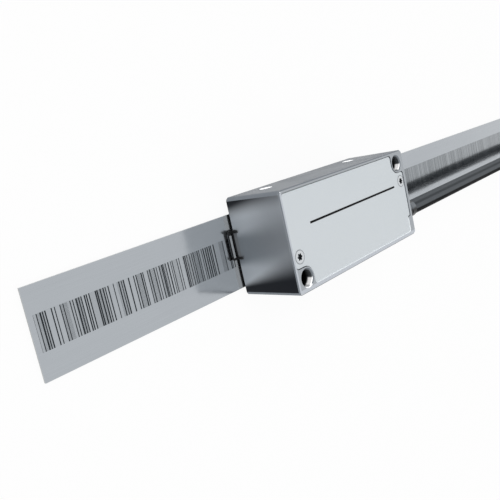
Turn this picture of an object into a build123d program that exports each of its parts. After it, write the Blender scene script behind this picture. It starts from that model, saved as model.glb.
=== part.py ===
from build123d import *
import math
import os

# Exposed linear encoder: a scanning head that hovers over a steel scale tape, with its lead and connector.
# X runs along the tape, Y across it, Z away from the machine bed. All sizes are in millimetres.
# The origin is under the middle of the tape's length and of the head's width, on the bed.

# Scale tape
tape_length = 348.0
tape_width = 15.3
tape_thickness = 0.3
tape_inset = 1.58
film_thickness = 0.15
track_width = 6.1
track_thickness = 0.02
track_end_margin = 0.9

# Head body
head_length = 46.0
head_width = 20.3
head_depth = 13.8
head_overhang = 45.0
ride_height = 0.9
corner_radius = 0.9
edge_break = 0.25
small_break = 0.2
wall = 2.0
pocket_radius = 1.2
cut_past = 2.0

# Mounting holes through the head, on opposite corners
mount_hole_inset_x = 3.15
mount_hole_inset_y = 2.75
mount_hole_radius = 1.65
mount_hole_chamfer = 0.3
mount_boss_wall = 1.7

# Threaded holes in the head's side
side_thread_inset_left = 7.4
side_thread_inset_right = 8.3
side_thread_height = 4.4
side_thread_radius = 1.25
side_thread_depth = 5.5
side_boss_half_width = 3.0
side_boss_length = 4.4

# Cover plate and what holds it
cover_thickness = 0.9
cover_gap = 0.14
cover_recess = 0.15
cover_rim_left = 0.6
cover_rim_right = 1.0
cover_rim_top = 0.6
cover_rim_bottom = 0.9
cover_corner_radius = 0.7
cover_step_width = 1.0
cover_step_length = 3.6
cover_step_radius = 0.35
notch_radius = 2.15
gasket_width = 0.6
gasket_height = 0.5
gasket_inset = 0.35
cover_screw_inset = 2.4
cover_screw_spacing = 4.35
cover_screw_head_radius = 1.4
cover_screw_radius = 0.8
cover_screw_length = 5.0
cover_screw_wall = 1.12
cover_screw_tip_gap = 0.5
socket_radius = 0.62
socket_lobe_radius = 0.22
socket_depth = 0.45
screw_gap = 0.05

# Window carrier under the head, with the guard lip at its left end
carrier_half_length = 15.0
carrier_reach_low = 4.33
carrier_reach_high = 4.52
carrier_tongue_reach = 1.63
carrier_rise = 0.9
carrier_drop = 0.5
carrier_gap = 0.1
glass_length = 14.0
glass_width = 5.8
glass_thickness = 0.9
glass_ledge = 0.7
glass_gap = 0.05
lip_reach = 1.2
lip_bar = 0.55
lip_leg = 0.5
lip_thickness = 0.4
lip_tab_thickness = 0.35
lip_tab_height = 1.25
seal_width = 0.7
seal_height = 0.4
seal_margin = 0.6

# Optics and electronics inside
board_height = 7.9
board_thickness = 1.2
board_gap = 0.35
board_cable_gap = 4.6
board_notch_gap = 1.15
board_corner_radius = 0.7
block_half_length = 9.0
block_half_width = 5.5
block_break = 0.9
lamp_x = -4.5
lens_radius = 2.4
lens_edge = 0.9
lens_dome = 0.8
lens_seat_width = 0.6
lens_seat_height = 1.2
lamp_base_radius = 1.6
lamp_base_height = 0.6
lamp_dome_radius = 1.2
sensor_x = 4.0
sensor_side = 4.6
sensor_thickness = 0.9
sensor_well_side = 6.0
chip_side = 8.0
chip_thickness = 1.1
chip_x = -4.0
chip_corner = 0.65
part_length = 1.6
part_breadth = 0.8
part_rise = 0.7
part_pitch_x = 3.1
part_pitch_y = 1.6
part_row_y = 2.0
parts_per_row = 4
board_screw_inset = 2.05
board_screw_radius = 0.8
board_screw_head_radius = 1.5
board_screw_head_height = 1.0
board_screw_depth = 1.7
board_screw_break = 0.25
socket_inset = 1.6
socket_offset = 0.4
socket_length = 4.0
socket_width = 4.2
socket_rise = 2.6
wire_radius = 0.24
wire_pitch = 0.65
wires_per_row = 4
wire_bend = 0.9

# Lead where it leaves the head
cable_radius = 1.85
cable_inset = 4.15
cable_height = 7.7
cable_strip = 4.0
cable_gap = 0.05
sleeve_reach = 9.9
sleeve_radius = 2.15
sleeve_spigot_radius = 2.35
sleeve_flange_radius = 3.2
sleeve_flange_thickness = 1.0
sleeve_end_radius = 0.15
crimp_depth = 0.1
crimp_width = 0.8
crimp_places = (5.0, 7.2)
sleeve_seal_thickness = 0.4
clamp_length = 3.2
clamp_half_width = 2.1
clamp_top = 10.4
clamp_gap = 0.2

# Free lead: hand-placed points from the sleeve to the coil, then the coil, then on to the connector
lead_points = [
    (-73.1, -6.0, 9.05),
    (8.0, -6.0, 9.05),
    (23.0, -8.6, 8.4),
    (37.0, -11.0, 5.6),
    (48.0, -11.0, 2.9),
    (57.5, -11.0, 2.35),
]
tail_points = [
    (62.6, -11.0, 6.05),
    (78.0, -11.0, 5.0),
    (95.0, -20.0, 5.3),
    (109.0, -20.0, 7.25),
    (124.0, -20.0, 7.25),
]
arc_share = 0.45
coil_x = 60.0
coil_y = -34.7
coil_turn_radius = 20.0
coil_columns = 3
coil_layers = 2
coil_edge_radius = 1.6
tie_thickness = 0.5
tie_gap = 0.05
tie_angle = 9.0
tie_places = (20.0, 200.0)
tie_head_length = 5.0
tie_head_reach = 2.4
tie_head_height = 3.6

# Connector, measured along its axis from its rear end
plug_x = 118.0
plug_y = -20.0
plug_z = 7.25
nut_length = 10.5
nut_radius = 6.0
nut_rear_radius = 4.2
nut_taper = 2.5
nut_flute_radius = 1.1
nut_flute_depth = 0.45
nut_flutes = 8
nut_bore_length = 4.5
nut_wall = 1.3
thread_gap = 0.05
shell_radius = 5.6
shell_length = 12.5
shoulder_radius = 6.6
shoulder_length = 1.8
nose_radius = 4.9
nose_wall = 0.8
nose_length = 17.5
insert_gap = 0.03
insert_length = 22.0
insert_setback = 4.5
pin_radius = 0.4
pin_circle = 2.75
pins_on_circle = 7
pin_reach = 3.6
pin_depth = 5.0
pin_tip_break = 0.2
key_radius = 0.5
ring_length = 22.5
ring_gap = 0.05
ring_end_gap = 0.15
ring_grip_radius = 7.25
ring_grip_length = 9.6
ring_thread_radius = 5.95
ring_groove_length = 1.3
ring_grooves = 24
ring_groove_radius = 0.45
ring_mouth_radius = 5.35
grip_break = 0.5
clip_thickness = 0.6
clip_rise = 0.3
clip_setback = 1.0
clip_opening = 40.0
seal_ring_radius = 0.55

# Places worked out from the sizes above
tape_top = film_thickness + tape_thickness
under_z = tape_top + ride_height
front_z = under_z + head_depth
cover_z = front_z - cover_recess
seat_z = cover_z - cover_thickness
half_length = head_length / 2
half_width = head_width / 2
head_x = -tape_length / 2 + head_overhang + half_length
tape_y = -half_width + tape_inset + tape_width / 2
optics_y = tape_y
mount_hole_dx = half_length - mount_hole_inset_x
mount_hole_dy = half_width - mount_hole_inset_y
cover_screw_dx = half_length - cover_screw_inset
cover_screw_dy = mount_hole_dy - cover_screw_spacing
side_thread_x = (-half_length + side_thread_inset_left, half_length - side_thread_inset_right)
board_screw_y = half_width - wall - board_screw_inset
carrier_low_y = optics_y - carrier_reach_low
carrier_high_y = optics_y + carrier_reach_high
carrier_tongue_low_y = optics_y - carrier_tongue_reach
cable_y = -half_width + cable_inset
clamp_x = half_length - wall - clamp_gap - clamp_length
cable_inner_x = clamp_x - cable_strip
board_right = cable_inner_x - board_cable_gap
board_front_y = cable_y + cable_radius + board_notch_gap
socket_x = board_right - socket_inset - socket_length
socket_y = cable_y + socket_offset
floor_z = under_z + wall
board_z = under_z + board_height
board_top = board_z + board_thickness
carrier_low_z = under_z - carrier_drop
carrier_roof_z = under_z + carrier_rise
cable_z = under_z + cable_height
coil_pitch = 2 * cable_radius
coil_low_z = tie_thickness
coil_half_width = coil_columns * cable_radius
coil_high_z = coil_low_z + coil_layers * coil_pitch
side_bay_edge = cover_screw_dy - cover_screw_radius - cover_screw_wall
nut_thread_radius = nut_radius - nut_wall
shell_start = nut_length
shoulder_start = shell_start + shell_length
nose_start = shoulder_start + shoulder_length
nose_end = nose_start + nose_length
nose_bore = nose_radius - nose_wall
ring_start = nose_start + ring_end_gap
ring_end = ring_start + ring_length
insert_end = nose_end - insert_setback
clip_start = nose_end - clip_setback - clip_thickness
seal_groove_start = ring_start + ring_grip_length
ring_bore = nose_radius + ring_gap


def block(x_span, y_span, z_span):
    # Box between two places on each axis
    spans = (x_span, y_span, z_span)
    size = [high - low for low, high in spans]
    middle = [(high + low) / 2 for low, high in spans]
    return Pos(*middle) * Box(*size)


def head_block(x_span, y_span, z_span):
    # Box with X counted from the middle of the head
    return Pos(head_x, 0, 0) * block(x_span, y_span, z_span)


def post(x, y, z_span, radius):
    # Upright cylinder
    low, high = z_span
    return Pos(x, y, (low + high) / 2) * Cylinder(radius, high - low)


def cone(x, y, z_span, low_radius, high_radius):
    # Upright cone
    low, high = z_span
    return Pos(x, y, (low + high) / 2) * Cone(low_radius, high_radius, high - low)


def slab(outline, low, high):
    # Flat outline pulled up between two heights
    return extrude(Pos(0, 0, low) * outline, high - low)


def turned(points):
    # Profile of (along, radius) points turned about X
    return revolve(make_face(Polyline(*points, close=True)), axis=Axis.X)


def rounded_outline(points, radius):
    # Closed outline with every corner rounded
    return make_face(FilletPolyline(*points, radius=radius, close=True))


def mount_hole_places():
    return [(head_x + side * mount_hole_dx, side * mount_hole_dy) for side in (-1, 1)]


def cover_screw_places():
    return [(head_x + side * cover_screw_dx, side * cover_screw_dy) for side in (-1, 1)]


def cover_outline(gap):
    # Cover plate seen from the front, let in by the gap all round
    left = -half_length + cover_rim_left + gap
    right = half_length - cover_rim_right - gap
    low = -half_width + cover_rim_bottom + gap
    high = half_width - cover_rim_top - gap
    notch_x = mount_hole_dx - notch_radius - gap
    notch_y = mount_hole_dy - notch_radius - gap
    step_x = right - cover_step_width
    step_y = low + cover_step_length
    small = cover_corner_radius
    tiny = cover_step_radius
    corners = [
        ((-notch_x, low), small),
        ((step_x, low), small),
        ((step_x, step_y), tiny),
        ((right, step_y), tiny),
        ((right, notch_y), small),
        ((notch_x, notch_y), notch_radius + gap),
        ((notch_x, high), small),
        ((left, high), small),
        ((left, -notch_y), small),
        ((-notch_x, -notch_y), notch_radius + gap),
    ]
    points = [point for point, _ in corners]
    radii = [radius for _, radius in corners]
    outline = make_face(FilletPolyline(*points, radius=radii, close=True))
    return Pos(head_x, 0, 0) * outline


def pocket_outline(grow):
    # Hollow of the head seen from the front: a middle bay and one side bay beside each mounting hole
    end = half_length - wall + grow
    side = half_width - wall + grow
    bay = mount_hole_dx - mount_hole_radius - mount_boss_wall + grow
    points = [
        (-bay, -side),
        (end, -side),
        (end, side_bay_edge + grow),
        (bay, side_bay_edge + grow),
        (bay, side),
        (-end, side),
        (-end, -side_bay_edge - grow),
        (-bay, -side_bay_edge - grow),
    ]
    return Pos(head_x, 0, 0) * rounded_outline(points, pocket_radius)


def carrier_outline(gap):
    # Window carrier seen from below, with its tongue to the left end of the head
    low = carrier_low_y + gap
    high = carrier_high_y - gap
    tongue = carrier_tongue_low_y + gap
    end = carrier_half_length - gap
    points = [
        (-half_length, tongue),
        (-end, tongue),
        (-end, low),
        (end, low),
        (end, high),
        (-half_length, high),
    ]
    return Pos(head_x, 0, 0) * make_face(Polyline(*points, close=True))


def window_outline(grow):
    # Light opening through the head's bottom wall
    length = glass_length + 2 * (seal_margin + seal_width + grow)
    width = glass_width + 2 * grow
    return Pos(head_x, optics_y, 0) * RectangleRounded(length, width, pocket_radius)


def side_bosses():
    # Blocks inside the pocket that carry the side threads and the board
    bosses = []
    for x in side_thread_x:
        x_span = (x - side_boss_half_width, x + side_boss_half_width)
        y_span = (half_width - wall - side_boss_length, half_width - wall / 2)
        bosses.append(head_block(x_span, y_span, (floor_z - wall / 2, board_z)))
    return bosses


def board_screw_places():
    return [(head_x + x, board_screw_y) for x in side_thread_x]


def head_housing():
    outline = Pos(head_x, 0, 0) * RectangleRounded(head_length, head_width, corner_radius)
    body = slab(outline, under_z, front_z)
    body = chamfer(body.edges().group_by(Axis.Z)[-1], edge_break)
    body -= slab(cover_outline(0), seat_z, front_z + cut_past)
    hollow = slab(pocket_outline(0), floor_z, seat_z)
    for boss in side_bosses():
        hollow -= boss
    body -= hollow
    body -= slab(pocket_outline(gasket_inset + gasket_width), seat_z - gasket_height, seat_z) - slab(
        pocket_outline(gasket_inset), seat_z - cut_past, seat_z + cut_past
    )
    for x, y in mount_hole_places():
        body -= post(x, y, (under_z - cut_past, front_z + cut_past), mount_hole_radius)
        mouth = mount_hole_radius + mount_hole_chamfer
        body -= cone(x, y, (front_z - mount_hole_chamfer, front_z), mount_hole_radius, mouth)
    for x, y in cover_screw_places():
        hole = (seat_z - cover_screw_length, seat_z + cut_past)
        body -= post(x, y, hole, cover_screw_radius + screw_gap)
    for x, y in board_screw_places():
        hole = (board_z - board_screw_depth, board_z + screw_gap)
        body -= post(x, y, hole, board_screw_radius + screw_gap)
    for x in side_thread_x:
        thread = Cylinder(side_thread_radius, side_thread_depth, align=(Align.CENTER, Align.CENTER, Align.MAX))
        place = Pos(head_x + x, half_width, under_z + side_thread_height) * Rot(-90, 0, 0)
        body -= place * thread
    body -= slab(carrier_outline(0), under_z - cut_past, carrier_roof_z)
    body -= slab(window_outline(0), under_z, floor_z + screw_gap)
    bore = Rot(0, 90, 0) * Cylinder(sleeve_spigot_radius + cable_gap, 3 * wall)
    body -= Pos(head_x + half_length, cable_y, cable_z) * bore
    return body


def cover_plate():
    plate = slab(cover_outline(cover_gap), seat_z, cover_z)
    sink = cover_screw_head_radius - cover_screw_radius
    for x, y in cover_screw_places():
        plate -= post(x, y, (seat_z - cut_past, front_z + cut_past), cover_screw_radius + screw_gap)
        mouth = cover_screw_head_radius + screw_gap
        plate -= cone(x, y, (cover_z - sink, cover_z), cover_screw_radius + screw_gap, mouth)
    return plate


def cover_gasket():
    outer = slab(pocket_outline(gasket_inset + gasket_width), seat_z - gasket_height, seat_z)
    return outer - slab(pocket_outline(gasket_inset), seat_z - cut_past, seat_z + cut_past)


def hexalobular_socket(x, y, top_z):
    # Six round lobes about a round core
    core = Circle(socket_radius - socket_lobe_radius / 2)
    lobes = PolarLocations(socket_radius - socket_lobe_radius / 2, 6) * Circle(socket_lobe_radius)
    outline = Sketch() + [core] + list(lobes)
    return Pos(x, y, top_z - socket_depth) * extrude(outline, socket_depth)


def cover_screw(x, y):
    sink = cover_screw_head_radius - cover_screw_radius
    head = cone(x, y, (cover_z - sink, cover_z), cover_screw_radius, cover_screw_head_radius)
    shank = post(x, y, (seat_z - cover_screw_length + cover_screw_tip_gap, cover_z - sink), cover_screw_radius)
    return head + shank - hexalobular_socket(x, y, cover_z)


def cover_screws():
    return [cover_screw(x, y) for x, y in cover_screw_places()]


def glass_box(gap):
    length = (glass_length + 2 * gap) / 2
    width = (glass_width + 2 * gap) / 2
    y_span = (optics_y - width, optics_y + width)
    return head_block((-length, length), y_span, (carrier_low_z, carrier_low_z + glass_thickness))


def seal_ring(gap):
    # Rectangular ring round the light opening, against the housing
    inner = (glass_length + 2 * seal_margin, glass_width - seal_width)
    z_span = (carrier_roof_z - seal_height, carrier_roof_z)
    outer = [size / 2 + seal_width + gap for size in inner]
    inner = [size / 2 - gap for size in inner]
    ring = head_block((-outer[0], outer[0]), (optics_y - outer[1], optics_y + outer[1]), z_span)
    return ring - head_block((-inner[0], inner[0]), (optics_y - inner[1], optics_y + inner[1]), z_span)


def guard_lip():
    # Thin frame that stands out of the head's left end, close over the tape, with a tab up each side
    face = -half_length
    low = carrier_tongue_low_y + carrier_gap
    high = carrier_high_y - carrier_gap
    z_span = (carrier_low_z, carrier_low_z + lip_thickness)
    frame = head_block((face - lip_reach, face), (low, high), z_span)
    frame -= head_block((face - lip_reach + lip_bar, face), (low + lip_leg, high - lip_leg), z_span)
    tab_top = under_z + lip_tab_height
    for side in (low, high - lip_leg):
        frame += head_block((face - lip_tab_thickness, face), (side, side + lip_leg), (carrier_low_z, tab_top))
    return frame


def window_carrier():
    body = slab(carrier_outline(carrier_gap), carrier_low_z, carrier_roof_z)
    body += guard_lip()
    light_length = glass_length / 2 - glass_ledge
    light_width = glass_width / 2 - glass_ledge
    y_span = (optics_y - light_width, optics_y + light_width)
    body -= head_block((-light_length, light_length), y_span, (carrier_low_z - cut_past, floor_z))
    body -= glass_box(glass_gap)
    return body - seal_ring(glass_gap)


def scanning_window():
    glass = glass_box(0)
    return chamfer(glass.edges().filter_by(Axis.Z), small_break)


def window_seal():
    return seal_ring(0)


def optics_block():
    z_span = (floor_z, board_z)
    y_span = (optics_y - block_half_width, optics_y + block_half_width)
    body = head_block((-block_half_length, block_half_length), y_span, z_span)
    body = chamfer(body.edges().filter_by(Axis.Z), block_break)
    seat = floor_z + lens_seat_height
    body -= post(head_x + lamp_x, optics_y, (seat, board_z), lens_radius + cable_gap)
    body -= post(head_x + lamp_x, optics_y, z_span, lens_radius - lens_seat_width)
    half = sensor_well_side / 2
    body -= head_block((sensor_x - half, sensor_x + half), (optics_y - half, optics_y + half), z_span)
    return body


def condenser_lens():
    # Flat face down, domed face towards the lamp
    dome_radius = (lens_radius**2 + lens_dome**2) / (2 * lens_dome)
    seat = floor_z + lens_seat_height
    top = seat + lens_edge + lens_dome
    rim = post(head_x + lamp_x, optics_y, (seat, top), lens_radius)
    dome = Pos(head_x + lamp_x, optics_y, top - dome_radius) * Sphere(dome_radius)
    return rim & dome


def light_source():
    x = head_x + lamp_x
    base = post(x, optics_y, (board_z - lamp_base_height, board_z), lamp_base_radius)
    dome = Pos(x, optics_y, board_z - lamp_base_height) * Sphere(lamp_dome_radius, arc_size2=0)
    return base + dome


def photo_sensor():
    half = sensor_side / 2
    z_span = (board_z - sensor_thickness, board_z)
    chip = head_block((sensor_x - half, sensor_x + half), (optics_y - half, optics_y + half), z_span)
    return chamfer(chip.faces().sort_by(Axis.Z)[0].edges(), small_break)


def main_board():
    # Board with its rear left bay, cut short on the right where the lead comes in
    end = half_length - wall - board_gap
    side = half_width - wall - board_gap
    bay = mount_hole_dx - mount_hole_radius - mount_boss_wall - board_gap
    step = side_bay_edge - board_gap
    points = [
        (-bay, -side),
        (board_right, -side),
        (board_right, board_front_y),
        (bay, board_front_y),
        (bay, side),
        (-end, side),
        (-end, -step),
        (-bay, -step),
    ]
    board = slab(Pos(head_x, 0, 0) * rounded_outline(points, board_corner_radius), board_z, board_top)
    for x, y in board_screw_places():
        board -= post(x, y, (board_z, board_top), board_screw_radius + screw_gap)
    return board


def board_screws():
    screws = []
    for x, y in board_screw_places():
        head = post(x, y, (board_top, board_top + board_screw_head_height), board_screw_head_radius)
        head = chamfer(head.edges().group_by(Axis.Z)[-1], board_screw_break)
        low = board_z - board_screw_depth + screw_gap
        screws.append(head + post(x, y, (low, board_top), board_screw_radius))
    return screws


def processor_chip():
    half = chip_side / 2
    z_span = (board_top, board_top + chip_thickness)
    chip = head_block((chip_x - half, chip_x + half), (optics_y - half, optics_y + half), z_span)
    return chamfer(chip.edges().filter_by(Axis.Z), chip_corner)


def board_parts():
    # Two rows of small components beside the chip
    pieces = []
    first_x = chip_x + chip_side / 2 + part_length
    for row in (0, 1):
        for index in range(parts_per_row):
            x = first_x + row * part_pitch_x
            y = part_row_y + (index - (parts_per_row - 1) / 2) * part_pitch_y
            x_span = (x - part_length / 2, x + part_length / 2)
            y_span = (y - part_breadth / 2, y + part_breadth / 2)
            pieces.append(head_block(x_span, y_span, (board_top, board_top + part_rise)))
    return pieces


def wire_socket():
    z_span = (board_top, board_top + socket_rise)
    half = socket_width / 2
    body = head_block((socket_x, socket_x + socket_length), (socket_y - half, socket_y + half), z_span)
    return chamfer(body.edges().group_by(Axis.Z)[-1].filter_by(Axis.Y), board_gap)


def lead_wires():
    # Cores in two rows, from the lead's end up to the socket on the board
    wires = []
    rise_z = board_top + socket_rise / 2
    for row in (-1, 1):
        for index in range(wires_per_row):
            offset = (index - (wires_per_row - 1) / 2) * wire_pitch
            lift = row * wire_pitch / 2
            points = [
                (head_x + cable_inner_x, cable_y + offset, cable_z + lift),
                (head_x + cable_inner_x - wire_bend, cable_y + offset, cable_z + lift),
                (head_x + socket_x + socket_length + wire_bend, socket_y + offset, rise_z + lift),
                (head_x + socket_x + socket_length, socket_y + offset, rise_z + lift),
            ]
            path = FilletPolyline(*points, radius=wire_bend)
            section = Plane(origin=path @ 0, z_dir=path % 0) * Circle(wire_radius)
            wires.append(sweep(section, path=path))
    return wires


def along_cable(solid, from_x):
    # Solid turned about X, moved onto the lead's line
    return Pos(head_x + from_x, cable_y, cable_z) * solid


def cable_inner_end():
    length = half_length + sleeve_reach - cable_inner_x
    return along_cable(turned([(0, 0), (0, cable_radius), (length, cable_radius), (length, 0)]), cable_inner_x)


def sleeve_seal():
    inner = sleeve_spigot_radius + cable_gap
    end = sleeve_seal_thickness
    outer = sleeve_flange_radius - cable_gap
    return along_cable(turned([(0, inner), (0, outer), (end, outer), (end, inner)]), half_length)


def cable_sleeve():
    bore = cable_radius + cable_gap
    flange = sleeve_seal_thickness
    shank = flange + sleeve_flange_thickness
    end = sleeve_reach
    points = [
        (-wall, bore),
        (-wall, sleeve_spigot_radius),
        (flange, sleeve_spigot_radius),
        (flange, sleeve_flange_radius),
        (shank, sleeve_flange_radius),
        (shank, sleeve_radius),
    ]
    for place in crimp_places:
        points += [
            (place, sleeve_radius),
            (place + crimp_depth, sleeve_radius - crimp_depth),
            (place + crimp_width - crimp_depth, sleeve_radius - crimp_depth),
            (place + crimp_width, sleeve_radius),
        ]
    points += [(end - sleeve_end_radius, sleeve_radius), (end, sleeve_radius - sleeve_end_radius), (end, bore)]
    return along_cable(turned(points), half_length)


def cable_clamp():
    # Block round the lead's end, standing on the floor of the right bay
    y_span = (cable_y - clamp_half_width, cable_y + clamp_half_width)
    body = head_block((clamp_x, clamp_x + clamp_length), y_span, (floor_z, under_z + clamp_top))
    body = fillet(body.edges().filter_by(Axis.Z), pocket_radius)
    bore = Rot(0, 90, 0) * Cylinder(cable_radius + cable_gap, head_width)
    body -= along_cable(bore, clamp_x)
    split = (cable_z - clamp_gap / 2, cable_z + clamp_gap / 2)
    body -= head_block((clamp_x, clamp_x + clamp_length), (cable_y, cable_y + head_width), split)
    return body


def scale_tape():
    x_span = (-tape_length / 2, tape_length / 2)
    y_span = (tape_y - tape_width / 2, tape_y + tape_width / 2)
    return block(x_span, y_span, (film_thickness, tape_top))


def adhesive_film():
    x_span = (-tape_length / 2, tape_length / 2)
    y_span = (tape_y - tape_width / 2, tape_y + tape_width / 2)
    return block(x_span, y_span, (0, film_thickness))


def graduation_track():
    reach = tape_length / 2 - track_end_margin
    y_span = (tape_y - track_width / 2, tape_y + track_width / 2)
    return block((-reach, reach), y_span, (tape_top, tape_top + track_thickness))


def route_radii(points):
    # Largest arc at each corner that its two runs allow
    radii = []
    places = [Vector(*point) for point in points]
    for before, corner, after in zip(places, places[1:], places[2:]):
        turn = (corner - before).get_angle(after - corner)
        shorter = min((corner - before).length, (after - corner).length)
        radii.append(arc_share * shorter / math.tan(math.radians(turn) / 2))
    return radii


def lead_stretch(name, points):
    radii = route_radii(points)
    path = FilletPolyline(*points, radius=radii)
    tube = sweep(Plane(origin=path @ 0, z_dir=path % 0) * Circle(cable_radius), path=path)
    plain = math.pi * cable_radius**2 * path.length
    print(name, "length", round(path.length, 1), "radii", [round(r, 1) for r in radii])
    print(name, "volume over section times length", round(tube.volume / plain, 4))
    return tube


def coil_section(grow_in, grow_out, low_z, high_z, radius):
    # Cross-section of the coil or of a band round it, standing on the XZ plane
    inner = coil_turn_radius - coil_half_width - grow_in
    outer = coil_turn_radius + coil_half_width + grow_out
    section = RectangleRounded(outer - inner, high_z - low_z, radius)
    return Plane.XZ * Pos((inner + outer) / 2, (low_z + high_z) / 2) * section


def cable_coil():
    section = coil_section(0, 0, coil_low_z, coil_high_z, coil_edge_radius)
    return Pos(coil_x, coil_y, 0) * revolve(section, axis=Axis.Z)


def coil_tie(place):
    # Strap round the bundle with its lock on the outside
    outer = coil_section(
        tie_gap + tie_thickness,
        tie_gap + tie_thickness,
        coil_low_z - tie_thickness,
        coil_high_z + tie_gap + tie_thickness,
        coil_edge_radius,
    )
    inner = coil_section(tie_gap, tie_gap, coil_low_z, coil_high_z + tie_gap, coil_edge_radius)
    strap = revolve(outer - inner, axis=Axis.Z, revolution_arc=tie_angle)
    strap = Rot(0, 0, -tie_angle / 2) * strap
    reach = coil_turn_radius + coil_half_width + tie_gap
    middle = (coil_low_z + coil_high_z) / 2
    lock = block(
        (reach + tie_thickness / 2, reach + tie_head_reach),
        (-tie_head_length / 2, tie_head_length / 2),
        (middle - tie_head_height / 2, middle + tie_head_height / 2),
    )
    lock = chamfer(lock.edges().filter_by(Axis.Z), tie_thickness)
    return Pos(coil_x, coil_y, 0) * Rot(0, 0, place) * (strap + lock)


def coil_ties():
    return [coil_tie(place) for place in tie_places]


def on_plug(solid):
    # Solid built along X from the connector's rear end, moved to its place
    return Pos(plug_x, plug_y, plug_z) * solid


def back_nut():
    bore = cable_radius + cable_gap
    thread = nut_thread_radius
    points = [
        (0, bore),
        (0, nut_rear_radius),
        (nut_taper, nut_radius),
        (nut_length - edge_break, nut_radius),
        (nut_length, nut_radius - edge_break),
        (nut_length, thread),
        (nut_bore_length, thread),
        (nut_bore_length, bore),
    ]
    body = turned(points)
    reach = nut_radius + nut_flute_radius - nut_flute_depth
    length = nut_length - nut_taper
    for index in range(nut_flutes):
        flute = Pos(nut_taper + length / 2, reach, 0) * Rot(0, 90, 0) * Cylinder(nut_flute_radius, length)
        body -= Rot(index * 360 / nut_flutes, 0, 0) * flute
    return on_plug(body)


def connector_shell():
    thread = nut_thread_radius - thread_gap
    groove = nose_radius - clip_rise
    points = [
        (nut_bore_length + thread_gap, cable_radius + cable_gap),
        (nut_bore_length + thread_gap, thread),
        (shell_start, thread),
        (shell_start, shell_radius - edge_break),
        (shell_start + edge_break, shell_radius),
        (shoulder_start, shell_radius),
        (shoulder_start + edge_break, shoulder_radius),
        (nose_start - edge_break, shoulder_radius),
        (nose_start, shoulder_radius - edge_break),
        (nose_start, nose_radius),
        (clip_start, nose_radius),
        (clip_start, groove),
        (clip_start + clip_thickness, groove),
        (clip_start + clip_thickness, nose_radius),
        (nose_end, nose_radius),
        (nose_end, nose_bore),
        (insert_end - insert_length, nose_bore),
        (insert_end - insert_length, cable_radius + cable_gap),
    ]
    return on_plug(turned(points))


def snap_ring():
    # Open spring ring in the nose's groove, which keeps the coupling ring on
    section = Pos(clip_start + clip_thickness / 2, nose_radius) * Rectangle(clip_thickness, 2 * clip_rise)
    return on_plug(revolve(section, axis=Axis.X, revolution_arc=360 - clip_opening))


def pin_places():
    # Centre pin and a ring of pins, with the gap towards the key
    places = [(0, 0)]
    for index in range(pins_on_circle):
        angle = math.radians(90 + (index + 0.5) * 360 / pins_on_circle)
        places.append((pin_circle * math.cos(angle), pin_circle * math.sin(angle)))
    return places


def contact_insert():
    start = insert_end - insert_length
    body = turned([(start, 0), (start, nose_bore - insert_gap), (insert_end, nose_bore - insert_gap), (insert_end, 0)])
    key = Pos(insert_end, 0, nose_bore) * Rot(0, 90, 0) * Cylinder(key_radius, insert_length)
    body -= key
    for y, z in pin_places():
        hole = Pos(insert_end, y, z) * Rot(0, 90, 0) * Cylinder(pin_radius, 2 * pin_depth)
        body -= hole
    return on_plug(body)


def contact_pins():
    pins = []
    length = pin_depth + pin_reach
    for y, z in pin_places():
        pin = Pos(insert_end - pin_depth + length / 2, y, z) * Rot(0, 90, 0) * Cylinder(pin_radius, length)
        tip = pin.edges().sort_by(Axis.X)[-1]
        pins.append(on_plug(chamfer(tip, pin_tip_break)))
    return pins


def coupling_ring():
    # Knurled grip, seal groove and the plain cylinder that carries the coupling thread
    groove = ring_thread_radius - seal_ring_radius
    thread_start = seal_groove_start + ring_groove_length
    mouth_start = clip_start - ring_end_gap
    points = [
        (ring_start, ring_bore),
        (ring_start, ring_grip_radius - grip_break),
        (ring_start + grip_break, ring_grip_radius),
        (seal_groove_start - grip_break, ring_grip_radius),
        (seal_groove_start, ring_grip_radius - grip_break),
        (seal_groove_start, groove),
        (thread_start, groove),
        (thread_start, ring_thread_radius),
        (ring_end - grip_break, ring_thread_radius),
        (ring_end, ring_thread_radius - grip_break),
        (ring_end, ring_mouth_radius),
        (mouth_start, ring_mouth_radius),
        (mouth_start, ring_bore),
    ]
    body = turned(points)
    middle = ring_start + ring_grip_length / 2
    for index in range(ring_grooves):
        cutter = Pos(middle, ring_grip_radius, 0) * Rot(0, 90, 0) * Cylinder(ring_groove_radius, ring_grip_length)
        body -= Rot(index * 360 / ring_grooves, 0, 0) * cutter
    return on_plug(body)


def ring_seal():
    # Round seal in the groove behind the thread
    middle = seal_groove_start + ring_groove_length / 2
    section = Pos(middle, ring_thread_radius) * Circle(seal_ring_radius)
    return on_plug(revolve(section, axis=Axis.X))


pieces = {
    "scale_tape": scale_tape(),
    "adhesive_film": adhesive_film(),
    "graduation_track": graduation_track(),
    "head_housing": head_housing(),
    "cover_plate": cover_plate(),
    "cover_gasket": cover_gasket(),
    "cover_screws": cover_screws(),
    "window_carrier": window_carrier(),
    "scanning_window": scanning_window(),
    "window_seal": window_seal(),
    "optics_block": optics_block(),
    "condenser_lens": condenser_lens(),
    "light_source": light_source(),
    "photo_sensor": photo_sensor(),
    "main_board": main_board(),
    "processor_chip": processor_chip(),
    "board_parts": board_parts(),
    "board_screws": board_screws(),
    "wire_socket": wire_socket(),
    "lead_wires": lead_wires(),
    "cable_inner_end": cable_inner_end(),
    "cable_clamp": cable_clamp(),
    "cable_sleeve": cable_sleeve(),
    "sleeve_seal": sleeve_seal(),
    "cable_tube": lead_stretch("cable_tube", lead_points),
    "cable_coil": cable_coil(),
    "cable_tail": lead_stretch("cable_tail", tail_points),
    "coil_ties": coil_ties(),
    "back_nut": back_nut(),
    "connector_shell": connector_shell(),
    "snap_ring": snap_ring(),
    "contact_insert": contact_insert(),
    "contact_pins": contact_pins(),
    "coupling_ring": coupling_ring(),
    "ring_seal": ring_seal(),
}

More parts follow.
